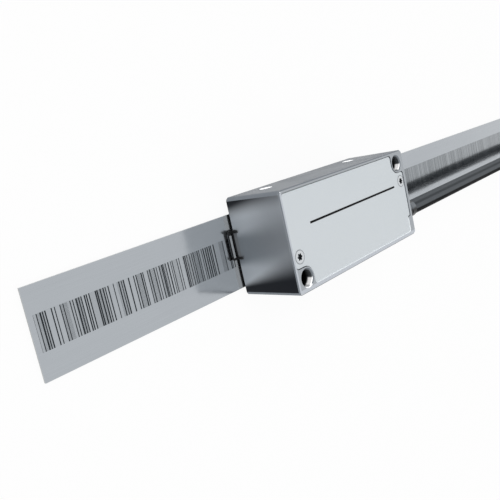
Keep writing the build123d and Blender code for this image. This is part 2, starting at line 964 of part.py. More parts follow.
os.makedirs("parts", exist_ok=True)
for name, piece in pieces.items():
    if isinstance(piece, list):
        piece = Compound(children=[solid for item in piece for solid in item.solids()])
    export_step(piece, f"parts/{name}.step")
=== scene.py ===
import math
import bpy
import numpy as np
from mathutils import Matrix, Vector


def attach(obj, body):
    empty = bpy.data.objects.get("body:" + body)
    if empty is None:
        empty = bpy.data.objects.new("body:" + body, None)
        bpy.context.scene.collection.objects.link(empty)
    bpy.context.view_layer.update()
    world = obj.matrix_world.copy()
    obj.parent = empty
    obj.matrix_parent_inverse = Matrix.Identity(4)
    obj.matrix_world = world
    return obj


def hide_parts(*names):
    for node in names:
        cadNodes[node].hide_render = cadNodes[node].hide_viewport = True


# Scanning head, scale tape and lead of an exposed linear encoder.
# Everything is in metres in the frame of the CAD model: X along the tape, Z away from the bed.

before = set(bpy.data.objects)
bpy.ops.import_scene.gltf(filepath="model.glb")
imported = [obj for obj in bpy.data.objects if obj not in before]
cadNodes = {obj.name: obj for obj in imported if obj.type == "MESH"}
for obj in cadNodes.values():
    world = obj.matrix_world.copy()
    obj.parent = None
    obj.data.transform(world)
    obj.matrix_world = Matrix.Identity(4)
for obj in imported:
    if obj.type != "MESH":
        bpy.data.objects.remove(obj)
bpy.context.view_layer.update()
millimetre = 0.001
print("frame loaded:", len(cadNodes), "nodes")


# Camera at the photograph's viewpoint, found from the head's and the tape's corners
cameraView = {
    "place": (-0.211286, 0.020943, 0.086393),
    "target": (-0.129204, 0.004092, 0.00045),
    "roll": -85.4186,  # degrees from upright
    "lens": 43.062,
    "sensor": 36.0,
    "shift": (0.0435, -0.0436),
    "nearest": 0.005,
}


def addCamera(settings):
    # Looks from place to target, then turns about its own axis by roll
    data = bpy.data.cameras.new("viewCamera")
    data.lens = settings["lens"]
    data.sensor_width = settings["sensor"]
    data.shift_x, data.shift_y = settings["shift"]
    data.clip_start = settings["nearest"]
    camera = bpy.data.objects.new("viewCamera", data)
    place = np.array(settings["place"])
    forward = np.array(settings["target"]) - place
    forward /= np.linalg.norm(forward)
    right = np.cross(forward, (0, 0, 1))
    right /= np.linalg.norm(right)
    up = np.cross(right, forward)
    angle = math.radians(settings["roll"])
    turnedUp = up * math.cos(angle) + right * math.sin(angle)
    turnedRight = right * math.cos(angle) - up * math.sin(angle)
    axes = Matrix((turnedRight, turnedUp, -forward)).transposed().to_4x4()
    camera.matrix_world = Matrix.Translation(settings["place"]) @ axes
    bpy.context.scene.collection.objects.link(camera)
    bpy.context.scene.camera = camera


addCamera(cameraView)
print("camera placed")


# Shader building blocks
def tone(red, green, blue):
    # Screen colour of 0 to 255 as linear light
    share = np.array([red, green, blue]) / 255
    linear = np.where(share <= 0.04045, share / 12.92, ((share + 0.055) / 1.055) ** 2.4)
    return (*linear.tolist(), 1.0)


black, white = tone(0, 0, 0), tone(255, 255, 255)


def connect(tree, value, socket):
    # A socket is linked, a plain value is set
    if isinstance(value, bpy.types.NodeSocket):
        tree.links.new(value, socket)
    else:
        socket.default_value = value


def addNode(tree, kind, values=None, **settings):
    node = tree.nodes.new(kind)
    for name, value in settings.items():
        setattr(node, name, value)
    for name, value in (values or {}).items():
        connect(tree, value, node.inputs[name])
    return node


def calculate(tree, operation, *values):
    return addNode(tree, "ShaderNodeMath", dict(enumerate(values)), operation=operation).outputs[0]


def product(tree, result, *others):
    for other in others:
        result = calculate(tree, "MULTIPLY", result, other)
    return result


def largest(tree, result, *others):
    for other in others:
        result = calculate(tree, "MAXIMUM", result, other)
    return result


def above(tree, value, level):
    return calculate(tree, "GREATER_THAN", value, level)


def below(tree, value, level):
    return calculate(tree, "LESS_THAN", value, level)


def ramp(tree, value, start, end, low=0.0, high=1.0):
    # Smooth step from low to high as value goes from start to end
    values = {"Value": value, "From Min": start, "From Max": end, "To Min": low, "To Max": high}
    return addNode(tree, "ShaderNodeMapRange", values, interpolation_type="SMOOTHSTEP").outputs[0]


def within(tree, value, span, soft):
    # 1 between the two ends of the span, fading over soft at each
    low, high = span
    rising = ramp(tree, value, low - soft, low + soft)
    falling = ramp(tree, value, high - soft, high + soft, 1.0, 0.0)
    return product(tree, rising, falling)


def blendColour(tree, mask, under, over):
    # Inputs 6 and 7 and output 2 are the colour sockets of the Mix node
    return addNode(tree, "ShaderNodeMix", {0: mask, 6: under, 7: over}, data_type="RGBA").outputs[2]


def paint(tree, mask, under, screenColour):
    return blendColour(tree, mask, under, tone(*screenColour))


def startGroup(name, inputs, outputs):
    group = bpy.data.node_groups.new(name, "ShaderNodeTree")
    for label, kind, value in inputs:
        group.interface.new_socket(label, in_out="INPUT", socket_type=kind).default_value = value
    for label in outputs:
        group.interface.new_socket(label, in_out="OUTPUT", socket_type="NodeSocketFloat")
    return group, group.nodes.new("NodeGroupInput").outputs, group.nodes.new("NodeGroupOutput").inputs


# Values inside the effects that the finishes share
effects = {
    "grainNoise": {"Scale": 1.0, "Detail": 3.0},
    "grainSpread": (0.3, 0.7),
    "patchNoise": {"Detail": 5.0, "Roughness": 0.6, "Distortion": 0.4},
    "patchSpread": (0.35, 0.68),
    "bevelSamples": 6,
}


def makeGrainGroup(settings):
    # Tone = noise of place times stretch, spread to 0..1; a stretch near 0 along an axis draws lines along it
    group, given, wanted = startGroup(
        "surfaceGrain",
        [("Place", "NodeSocketVector", (0, 0, 0)), ("Stretch", "NodeSocketVector", (1, 1, 1))],
        ["Tone"],
    )
    factors = {0: given["Place"], 1: given["Stretch"]}
    scaled = addNode(group, "ShaderNodeVectorMath", factors, operation="MULTIPLY").outputs[0]
    noise = addNode(group, "ShaderNodeTexNoise", {"Vector": scaled} | settings["grainNoise"])
    group.links.new(ramp(group, noise.outputs[0], *settings["grainSpread"]), wanted["Tone"])
    return group


def makePatchGroup(settings):
    # Mask = slow noise with a finer one inside it, as handled or aged surfaces show
    group, given, wanted = startGroup(
        "softPatches",
        [("Place", "NodeSocketVector", (0, 0, 0)), ("Size", "NodeSocketFloat", 5.0)],
        ["Mask"],
    )
    place = {"Vector": given["Place"], "Scale": calculate(group, "DIVIDE", 1.0, given["Size"])}
    noise = addNode(group, "ShaderNodeTexNoise", place | settings["patchNoise"])
    group.links.new(ramp(group, noise.outputs[0], *settings["patchSpread"]), wanted["Mask"])
    return group


def makeEdgeGroup(settings):
    # Mask = how far the rounded normal turns from the flat one, times Gain
    group, given, wanted = startGroup(
        "wornAndLitEdges",
        [("Radius", "NodeSocketFloat", 0.0003), ("Gain", "NodeSocketFloat", 4.0)],
        ["Mask"],
    )
    rounded = addNode(group, "ShaderNodeBevel", {"Radius": given["Radius"]}, samples=settings["bevelSamples"])
    flat = addNode(group, "ShaderNodeNewGeometry")
    normals = {0: rounded.outputs[0], 1: flat.outputs["Normal"]}
    match = addNode(group, "ShaderNodeVectorMath", normals, operation="DOT_PRODUCT").outputs["Value"]
    turned = product(group, calculate(group, "SUBTRACT", 1.0, match), given["Gain"])
    mask = addNode(group, "ShaderNodeClamp", {"Value": turned})
    group.links.new(mask.outputs[0], wanted["Mask"])
    return group


grainGroup = makeGrainGroup(effects)
patchGroup = makePatchGroup(effects)
edgeGroup = makeEdgeGroup(effects)


def useGroup(tree, group, output, **values):
    node = addNode(tree, "ShaderNodeGroup", node_tree=group)
    for name, value in values.items():
        connect(tree, value, node.inputs[name])
    return node.outputs[output]


def startFinish(name, look):
    # Two-tone colour by grain, slow patches in colour and roughness, relief by grain, lighter edges that are partly
    # wear and partly a painted highlight
    material = bpy.data.materials.new(name)
    material.use_nodes = True
    tree = material.node_tree
    shader = tree.nodes["Principled BSDF"]
    coordinates = addNode(tree, "ShaderNodeTexCoord").outputs["Object"]
    scaling = {0: coordinates, "Scale": 1 / millimetre}
    place = addNode(tree, "ShaderNodeVectorMath", scaling, operation="SCALE").outputs[0]
    axes = addNode(tree, "ShaderNodeSeparateXYZ", {"Vector": place}).outputs
    grain = useGroup(tree, grainGroup, "Tone", Place=place, Stretch=look["grain"])
    patches = useGroup(tree, patchGroup, "Mask", Place=place, Size=look["patch"])
    base = np.array(tone(*look["colour"])[:3])
    darker, lighter = (np.clip(base * step, 0, 1) for step in (1 - look["shade"], 1 + look["shade"]))
    colour = blendColour(tree, grain, (*darker, 1.0), (*lighter, 1.0))
    colour = paint(tree, product(tree, patches, look["patchShare"]), colour, look["patchColour"])
    if "edge" in look:
        wornAndLit = useGroup(tree, edgeGroup, "Mask", Radius=look["edge"], Gain=look["edgeGain"])
        wornAndLit = product(tree, wornAndLit, ramp(tree, axes[2], *look["edgeHeight"]))
        colour = paint(tree, wornAndLit, colour, look["edgeColour"])
    shader.inputs["Metallic"].default_value = look["metallic"]
    for socket, value in look.get("fixed", {}).items():
        shader.inputs[socket].default_value = value
    return {
        "material": material, "tree": tree, "shader": shader, "axes": axes, "colour": colour,
        "roughness": ramp(tree, patches, 0.0, 1.0, *look["roughness"]), "height": grain, "relief": look["relief"],
    }


def closeFinish(finish):
    tree, shader = finish["tree"], finish["shader"]
    connect(tree, finish["colour"], shader.inputs["Base Color"])
    connect(tree, finish["roughness"], shader.inputs["Roughness"])
    relief = {"Distance": finish["relief"] * millimetre, "Height": finish["height"]}
    tree.links.new(addNode(tree, "ShaderNodeBump", relief).outputs[0], shader.inputs["Normal"])
    return finish["material"]


def dress(thing, material):
    thing.data.materials.clear()
    thing.data.materials.append(material)


# Lead: straight out of the sleeve, down to the bed, wound up, and on to the connector, in metres
leadCord = {
    "diameter": 0.0037,
    "length": 0.955,
    "lead": [
        (-0.0731, -0.006, 0.00905),
        (-0.0072, -0.006, 0.00905),
        (0.014, -0.006, 0.00905),
        (0.025, -0.006, 0.00905),
        (0.032, -0.006, 0.00905),
        (0.036, -0.006, 0.00905),
        (0.040, -0.00654, 0.00831),
        (0.044, -0.00763, 0.00682),
        (0.048, -0.00927, 0.00458),
        (0.052, -0.01036, 0.00309),
        (0.056, -0.0109, 0.00235),
    ],
    "tail": [
        (0.066, -0.0108, 0.00595),
        (0.075, -0.0119, 0.0056),
        (0.084, -0.0149, 0.0053),
        (0.093, -0.0183, 0.0055),
        (0.102, -0.020, 0.0063),
        (0.111, -0.020, 0.00725),
        (0.124, -0.020, 0.00725),
    ],
    "coilCentre": (0.060, -0.0347),
    "coilStart": 90.0,
    "coilTurns": 6,
    "pointsPerTurn": 24,
    "curveOrder": 3,
    "stepsPerPoint": 5,
    "profileSteps": 6,
    "coilRadius": 0.0237,
    "coilHeight": 0.00235,
    # Where a change of radius starts and ends, in turns, and how much it is
    "radiusSteps": [
        (0.80, 1.08, -0.0037), (1.80, 2.08, -0.0037), (2.50, 2.80, -0.0009),
        (2.80, 3.10, 0.0009), (3.50, 3.78, 0.0037), (4.50, 4.78, 0.0037),
    ],
    "heightSteps": [(2.56, 3.04, 0.0037)],
}


def softSteps(turns, first, steps):
    # First value plus, for each step, its change times (1 - cos(pi * share done)) / 2
    total = np.full(turns.shape, first)
    for start, end, change in steps:
        done = np.clip((turns - start) / (end - start), 0, 1)
        total += change * (1 - np.cos(math.pi * done)) / 2
    return total


def coilPoints(settings):
    # Angle = start - turns * 360, clockwise from above; radius and height follow their steps.
    # Control points stand outside the line by 1 / cos(half a step), so that the line has the wanted radius.
    count = int(settings["coilTurns"] * settings["pointsPerTurn"])
    turns = np.arange(count + 1) / settings["pointsPerTurn"]
    radius = softSteps(turns, settings["coilRadius"], settings["radiusSteps"])
    height = softSteps(turns, settings["coilHeight"], settings["heightSteps"])
    radius = radius / math.cos(math.pi / settings["pointsPerTurn"])
    angle = np.radians(settings["coilStart"]) - 2 * math.pi * turns
    x = settings["coilCentre"][0] + radius * np.cos(angle)
    y = settings["coilCentre"][1] + radius * np.sin(angle)
    return np.column_stack([x, y, height]).tolist()


def makeLead(settings):
    points = settings["lead"] + coilPoints(settings) + settings["tail"]
    curve = bpy.data.curves.new("leadCable", "CURVE")
    curve.dimensions = "3D"
    spline = curve.splines.new("NURBS")
    spline.points.add(len(points) - 1)
    spline.points.foreach_set("co", np.column_stack([points, np.ones(len(points))]).ravel())
    # The points carry the lead's radius and the bevel is 1, so that Blender's box of the curve is the lead's own
    spline.points.foreach_set("radius", np.full(len(points), settings["diameter"] / 2))
    spline.order_u = settings["curveOrder"]
    spline.use_endpoint_u = True
    spline.resolution_u = settings["stepsPerPoint"]
    curve.bevel_depth = 1.0
    curve.bevel_resolution = settings["profileSteps"]
    curve.use_fill_caps = True
    lead = bpy.data.objects.new("leadCable", curve)
    bpy.context.scene.collection.objects.link(lead)
    return lead


leadCable = makeLead(leadCord)
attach(leadCable, "scanning_head")
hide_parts("cable_tube", "cable_coil", "cable_tail")
print("lead laid")


# Plain finishes of the CAD nodes: colour on the screen, grain in marks per millimetre, relief in millimetres
metalLook = {
    "colour": (176, 179, 182), "shade": 0.06, "grain": (2.0, 14.0, 14.0), "patch": 6.0, "patchShare": 0.25,
    "patchColour": (160, 164, 168), "metallic": 0.85, "roughness": (0.28, 0.40), "relief": 0.004,
}
plasticLook = {
    "colour": (20, 21, 23), "shade": 0.12, "grain": (9.0, 9.0, 9.0), "patch": 4.0, "patchShare": 0.2,
    "patchColour": (30, 32, 35), "metallic": 0.0, "roughness": (0.45, 0.58), "relief": 0.006,
}
plainFinishes = {
    "screwSteel": (
        metalLook | {"colour": (186, 189, 191), "grain": (10.0, 10.0, 4.0), "roughness": (0.22, 0.34)},
        ["board_screws", "snap_ring"],
    ),
    "clampMetal": (metalLook | {"colour": (150, 152, 156)}, ["cable_clamp"]),
    "connectorMetal": (
        metalLook | {"colour": (188, 190, 190), "grain": (16.0, 1.5, 1.5), "roughness": (0.18, 0.30)},
        ["back_nut", "connector_shell", "coupling_ring"],
    ),
    "sealRubber": (
        plasticLook | {"colour": (22, 22, 23), "roughness": (0.62, 0.75)},
        ["cover_gasket", "window_seal", "sleeve_seal", "ring_seal"],
    ),
    "opticsPlastic": (plasticLook, ["optics_block"]),
    "chipBlack": (
        plasticLook | {"colour": (30, 31, 33), "grain": (20.0, 20.0, 20.0)},
        ["processor_chip", "photo_sensor"],
    ),
    "boardLaminate": (
        plasticLook | {
            "colour": (20, 92, 62), "patchColour": (34, 118, 80), "patch": 1.6, "patchShare": 0.5,
            "roughness": (0.30, 0.42), "grain": (3.0, 3.0, 30.0),
        },
        ["main_board"],
    ),
    "componentCeramic": (
        plasticLook | {"colour": (150, 128, 100), "patchColour": (205, 205, 205), "patch": 0.8, "patchShare": 0.6},
        ["board_parts"],
    ),
    "socketPlastic": (
        plasticLook | {"colour": (222, 216, 196), "patchColour": (205, 198, 178), "shade": 0.04}, ["wire_socket"],
    ),
    "wireInsulation": (
        plasticLook | {"colour": (176, 60, 44), "patchColour": (60, 96, 170), "patch": 1.1, "patchShare": 0.8},
        ["lead_wires"],
    ),
    "jacketInside": (plasticLook | {"colour": (62, 66, 70), "patchColour": (78, 82, 86)}, ["cable_inner_end"]),
    "tieNylon": (
        plasticLook | {"colour": (40, 41, 42), "patchColour": (48, 49, 50), "shade": 0.03}, ["coil_ties"],
    ),
    "insertPlastic": (plasticLook | {"colour": (38, 40, 42), "roughness": (0.35, 0.48)}, ["contact_insert"]),
    "contactGold": (
        metalLook | {"colour": (232, 190, 106), "patchColour": (220, 176, 92), "roughness": (0.16, 0.26)},
        ["contact_pins"],
    ),
    "tapeFilm": (
        plasticLook | {"colour": (190, 192, 188), "patchColour": (176, 178, 174), "shade": 0.03}, ["adhesive_film"],
    ),
}
glassLook = plasticLook | {
    "colour": (226, 236, 238), "patchColour": (216, 230, 233), "shade": 0.01, "roughness": (0.02, 0.05),
    "relief": 0.0002, "fixed": {"Transmission Weight": 0.9, "IOR": 1.52},
}
plainFinishes["opticalGlass"] = (glassLook, ["scanning_window", "condenser_lens"])
plainFinishes["lampResin"] = (
    glassLook | {"colour": (235, 226, 214), "patchColour": (228, 216, 200), "fixed": {"Transmission Weight": 0.6}},
    ["light_source"],
)

for finishName, (look, nodeNames) in plainFinishes.items():
    finishMaterial = closeFinish(startFinish(finishName, look))
    for nodeName in nodeNames:
        dress(cadNodes[nodeName], finishMaterial)
print("plain finishes:", len(plainFinishes))


# Head housing: satin milled metal, paler on its front face, with painted shade and painted highlights with a
# painted glow in its bores and recess, a painted highlight on two rim strips, painted shade on its underside and a
# painted reflection on its left end face.
# Places and spans are in millimetres.
housingLook = metalLook | {
    "colour": (126, 132, 139), "patchColour": (120, 126, 133), "grain": (0.25, 11.0, 11.0), "patch": 9.0,
    "shade": 0.05, "metallic": 0.6, "roughness": (0.36, 0.44), "relief": 0.003,
    "fixed": {"Specular IOR Level": 0.08},
    # Edges painted lighter round the front face only, partly as wear and partly as a painted highlight of the
    # chamfers
    "edge": 0.00035, "edgeHeight": (12.5, 14.0), "edgeGain": 1.6, "edgeColour": (196, 200, 204),
    # Long sides and right end
    "sideReach": 10.05, "rightFace": -83.05, "sideMetallic": 0.12,
    # Front face; its rim, painted lighter as a painted highlight on its left and low strips; and the underside,
    # painted dark as painted shade
    "frontHeight": 15.12, "frontColour": (168, 173, 178),
    "lowRim": -9.2, "leftRim": -128.35, "litRimColour": (195, 200, 207),
    "underHeight": 1.4, "underShade": (14, 15, 17), "underEdge": -128.05,
    # Left end face, painted with a painted reflection of the tape and what lies beside it. A border is its y at the
    # foot of the face, its lean, its blur there and the blur's growth.
    "leftFace": -128.98, "faceFoot": 2.0,
    "faceFade": (4.0, 14.0), "reflectionLight": (197, 203, 209), "reflectionUpper": (166, 171, 177),
    "bandFade": (3.0, 13.0), "reflectedBandLow": (152, 159, 166), "reflectedBandHigh": (146, 151, 157),
    "bandFrom": (-3.5, 0.06, 0.8, 0.14), "bandTo": (2.3, 0.14, 0.8, 0.14),
    "darkTo": (-7.85, 0.31, 0.6, 0.2), "darkFrom": (7.2, 0.16, 1.6, 0.08),
    "edgeLine": 9.55, "reflectionDark": (30, 33, 38), "faceMirrored": (218, 221, 224),
    # Cover recess, whose lit walls get a painted highlight and a painted glow: for each lit wall its span and blur
    # in x, then in y
    "litWalls": (
        ((-128.7, -83.3), 0.02, (-9.6, -8.9), 0.02),
        ((-128.55, -128.25), 0.02, (-9.9, 9.9), 0.02),
        ((-85.15, -84.85), 0.02, (-9.3, -5.8), 0.4),
    ),
    "recessHeight": (14.0, 15.13), "recessBlur": 0.01, "recessHighlight": (250, 251, 252), "recessGlow": 0.5,
    # Threaded holes of the long side: a painted half shade deep inside, a painted highlight with a painted glow at
    # the mouth
    "sideBores": ((-121.6, 5.75), (-91.3, 5.75)), "sideBoreRadius": 1.3, "sideBoreHighlight": (248, 249, 250),
    "sideBoreMouth": (8.8, 9.1), "sideBoreDeep": (4.0, 9.0), "sideBoreBlur": 0.1,
    # Corner holes, with painted shade deep inside, a painted half shade near the mouth and a painted highlight with
    # a painted glow; lit where x and -y from the centre, weighed by boreLean, add up to boreTurn, near the mouth
    "throughBores": ((-125.85, -7.4), (-86.15, 7.4)), "throughBoreRadius": 1.75,
    "boreShade": (10, 11, 13), "boreHalfShade": (120, 125, 130), "boreHighlight": (252, 252, 253),
    "boreFade": (0.5, 2.0), "boreLean": (0.75, 0.66), "boreTurn": (1.38, 1.55), "boreLit": (1.0, 1.5),
    # Strength of the painted glow on the lit bores, the lit recess walls and the underside's left strip seen in the
    # tape
    "glow": 0.55,
}


def nearLine(tree, first, second, centre, radius):
    # 1 where the distance from a centre, in the plane of two axes, is under the radius
    across = calculate(tree, "SUBTRACT", first, centre[0])
    along = calculate(tree, "SUBTRACT", second, centre[1])
    reach = calculate(tree, "ADD", product(tree, across, across), product(tree, along, along))
    return below(tree, reach, radius * radius)


def pastBorder(tree, value, height, border, low=0.0, high=1.0):
    # (value - start - lean * height) / (blur + growth * height): a border that leans and blurs with height
    start, lean, blur, growth = border
    middle = calculate(tree, "ADD", start, product(tree, height, lean))
    width = calculate(tree, "ADD", blur, product(tree, height, growth))
    past = calculate(tree, "DIVIDE", calculate(tree, "SUBTRACT", value, middle), width)
    return ramp(tree, past, -1.0, 1.0, low, high)


def paintedFaceReflection(tree, y, z, look):
    # Painted reflection of what the left end face stands over: the tape's bright borders, its darker track and the
    # dark beside it
    height = calculate(tree, "SUBTRACT", z, look["faceFoot"])
    light = paint(tree, ramp(tree, z, *look["faceFade"]), tone(*look["reflectionLight"]), look["reflectionUpper"])
    band = paint(tree, ramp(tree, z, *look["bandFade"]), tone(*look["reflectedBandLow"]), look["reflectedBandHigh"])
    fromLow = pastBorder(tree, y, height, look["bandFrom"])
    toHigh = pastBorder(tree, y, height, look["bandTo"], 1.0, 0.0)
    colour = blendColour(tree, product(tree, fromLow, toHigh), light, band)
    lowDark = pastBorder(tree, y, height, look["darkTo"], 1.0, 0.0)
    highDark = pastBorder(tree, y, height, look["darkFrom"])
    dark = largest(tree, lowDark, highDark, above(tree, y, look["edgeLine"]))
    return paint(tree, dark, colour, look["reflectionDark"])


def recessWalls(tree, x, y, z, look):
    # 1 on those walls of the cover's recess that get a painted highlight
    walls = [
        product(tree, within(tree, x, spanX, blurX), within(tree, y, spanY, blurY))
        for spanX, blurX, spanY, blurY in look["litWalls"]
    ]
    return product(tree, largest(tree, *walls), within(tree, z, look["recessHeight"], look["recessBlur"]))


def boreTone(tree, x, y, z, centre, look):
    # Painted shade deep in the hole, a painted half shade near its mouth, a painted highlight where the wall there
    # faces the lamps
    depth = calculate(tree, "SUBTRACT", look["frontHeight"], z)
    colour = paint(tree, ramp(tree, depth, *look["boreFade"], 1.0, 0.0), tone(*look["boreShade"]), look["boreHalfShade"])
    right = product(tree, calculate(tree, "SUBTRACT", x, centre[0]), look["boreLean"][0])
    low = product(tree, calculate(tree, "SUBTRACT", centre[1], y), look["boreLean"][1])
    turned = ramp(tree, calculate(tree, "ADD", right, low), *look["boreTurn"])
    lit = product(tree, turned, ramp(tree, depth, *look["boreLit"], 1.0, 0.0))
    return paint(tree, lit, colour, look["boreHighlight"]), lit


def makeHousing(look):
    finish = startFinish("housingMetal", look)
    tree, shader = finish["tree"], finish["shader"]
    x, y, z = finish["axes"]
    # Seen in the tape, the end face shows a pale painted reflection of light surroundings instead of its painted
    # reflection of the tape
    mirrored = addNode(tree, "ShaderNodeLightPath").outputs["Is Glossy Ray"]
    face = paint(tree, mirrored, paintedFaceReflection(tree, y, z, look), look["faceMirrored"])
    colour = blendColour(tree, below(tree, x, look["leftFace"]), finish["colour"], face)
    # Painted highlight on the rim's left and low strips
    litRimStrips = largest(tree, below(tree, x, look["leftRim"]), below(tree, y, look["lowRim"]))
    front = paint(tree, litRimStrips, tone(*look["frontColour"]), look["litRimColour"])
    colour = blendColour(tree, above(tree, z, look["frontHeight"]), colour, front)
    # Painted shade on the underside
    underside = below(tree, z, look["underHeight"])
    colour = paint(tree, underside, colour, look["underShade"])
    # Painted highlight on the lit walls of the recess
    walls = recessWalls(tree, x, y, z, look)
    colour = paint(tree, walls, colour, look["recessHighlight"])
    # Painted glow: the underside's left strip where the tape mirrors it, and the lit recess walls
    mirroredEdge = product(tree, mirrored, below(tree, x, look["underEdge"]), underside)
    glow = calculate(tree, "ADD", mirroredEdge, product(tree, walls, look["recessGlow"]))
    # Side bores: painted half shade deep inside, painted highlight and painted glow at the mouth
    for centre in look["sideBores"]:
        inside = nearLine(tree, x, z, centre, look["sideBoreRadius"])
        deep = product(tree, inside, within(tree, y, look["sideBoreDeep"], look["sideBoreBlur"]))
        colour = paint(tree, deep, colour, look["boreHalfShade"])
        mouth = product(tree, inside, ramp(tree, y, *look["sideBoreMouth"]))
        colour = paint(tree, mouth, colour, look["sideBoreHighlight"])
        glow = calculate(tree, "ADD", mouth, glow)
    # Corner bores: painted shade, half shade and highlight, with a painted glow where lit
    for centre in look["throughBores"]:
        inside = nearLine(tree, x, y, centre, look["throughBoreRadius"])
        bore, lit = boreTone(tree, x, y, z, centre, look)
        colour = blendColour(tree, inside, colour, bore)
        glow = calculate(tree, "ADD", glow, product(tree, inside, lit))
    finish["colour"] = colour
    # The long sides and the right end are plainer, so that they look alike from near and along them
    side = above(tree, calculate(tree, "ABSOLUTE", y), look["sideReach"])
    plain = largest(tree, side, above(tree, x, look["rightFace"]))
    metallic = ramp(tree, plain, 0.0, 1.0, look["metallic"], look["sideMetallic"])
    connect(tree, metallic, shader.inputs["Metallic"])
    # Painted glow of the lit places, as emission
    connect(tree, blendColour(tree, glow, black, white), shader.inputs["Emission Color"])
    shader.inputs["Emission Strength"].default_value = look["glow"]
    return closeFinish(finish)


dress(cadNodes["head_housing"], makeHousing(housingLook))


# Window carrier: black plastic. The end of its tongue is painted in the tone of the housing's painted end face, and
# the bar of its lip is painted pale, both as painted reflections.
carrierLook = plasticLook | {
    "reflectionPatches": (
        {"from": 1.36, "x": (-129.0, -128.8), "y": (-2.3, 3.0), "colour": (172, 178, 184)},
        {"from": 1.22, "x": (-130.3, -129.6), "y": (-1.95, 2.65), "colour": (164, 169, 173)},
    ),
    "blur": 0.02,
}


def makeCarrier(look):
    finish = startFinish("carrierPlastic", look)
    tree = finish["tree"]
    x, y, z = finish["axes"]
    for part in look["reflectionPatches"]:
        inX, inY = (within(tree, value, part[name], look["blur"]) for value, name in ((x, "x"), (y, "y")))
        mask = product(tree, above(tree, z, part["from"]), inX, inY)
        finish["colour"] = paint(tree, mask, finish["colour"], part["colour"])
    return closeFinish(finish)


dress(cadNodes["window_carrier"], makeCarrier(carrierLook))


# Cover plate: pale satin lacquer with one printed rule
coverLook = plasticLook | {
    "colour": (216, 222, 226), "patchColour": (211, 218, 222), "shade": 0.02, "grain": (18.0, 18.0, 18.0),
    "patch": 12.0, "roughness": (0.42, 0.5), "relief": 0.002, "fixed": {"Specular IOR Level": 0.08},
    "ruleX": (-121.5, -88.7), "ruleY": (2.1, 2.56), "ruleBlur": 0.03, "ruleHeight": 14.97,
    "ruleColour": (5, 6, 8),
}


def makeCover(look):
    finish = startFinish("coverLacquer", look)
    tree = finish["tree"]
    x, y, z = finish["axes"]
    along = within(tree, x, look["ruleX"], look["ruleBlur"])
    across = within(tree, y, look["ruleY"], look["ruleBlur"])
    rule = product(tree, along, across, above(tree, z, look["ruleHeight"]))
    finish["colour"] = paint(tree, rule, finish["colour"], look["ruleColour"])
    return closeFinish(finish)


dress(cadNodes["cover_plate"], makeCover(coverLook))


# Cover screws: bright heads with a grey rim and painted shade in the socket
screwLook = metalLook | {
    "colour": (208, 212, 215), "patchColour": (200, 204, 208), "grain": (10.0, 10.0, 4.0),
    "roughness": (0.22, 0.34),
    "places": ((-126.6, -3.05), (-85.4, 3.05)), "rimRadius": 1.2, "socketRadius": 0.9, "socketTop": 14.96,
    "shadeColour": (80, 84, 88), "ringColour": (162, 166, 170),
}


def makeScrews(look):
    finish = startFinish("coverScrewSteel", look)
    tree = finish["tree"]
    x, y, z = finish["axes"]
    insideRim, inSocket = (
        largest(tree, *(nearLine(tree, x, y, place, look[radius]) for place in look["places"]))
        for radius in ("rimRadius", "socketRadius")
    )
    colour = blendColour(tree, insideRim, tone(*look["ringColour"]), finish["colour"])
    deep = product(tree, below(tree, z, look["socketTop"]), inSocket)
    finish["colour"] = paint(tree, deep, colour, look["shadeColour"])
    return closeFinish(finish)


dress(cadNodes["cover_screws"], makeScrews(screwLook))


# Scale tape: rolled steel, nearly a mirror
tapeLook = metalLook | {
    "colour": (174, 179, 184), "patchColour": (168, 173, 178), "shade": 0.03, "grain": (0.05, 16.0, 16.0),
    "patch": 20.0, "metallic": 0.93, "roughness": (0.13, 0.16), "relief": 0.0003,
}
dress(cadNodes["scale_tape"], closeFinish(startFinish("tapeSteel", tapeLook)))


# Graduation: dark code lines at uneven steps over fields of fine lines, in millimetres
trackLook = tapeLook | {
    "linePitch": 0.53, "lineWidth": 0.27, "thinnest": 0.6, "lineShare": 0.72, "lineColour": (38, 43, 47),
    "placeSeed": 75.0, "widthSeed": 19.0, "shareSeed": 13.0,
    "finePitch": 0.12, "fineFill": 0.5, "fineColour": (92, 97, 101),
    "fieldPitch": 1.37, "fieldSeed": 33.0, "fieldFade": (0.3, 0.75, 0.12, 0.9),
    "farFade": (-110.0, -80.0, 0.0, 0.6), "farColour": (141, 146, 150),
}


def scatter(tree, value, seed):
    # A steady pseudo-random number for each whole step of value
    cell = calculate(tree, "ADD", calculate(tree, "FLOOR", value), seed)
    return addNode(tree, "ShaderNodeTexWhiteNoise", {"W": cell}, noise_dimensions="1D").outputs["Value"]


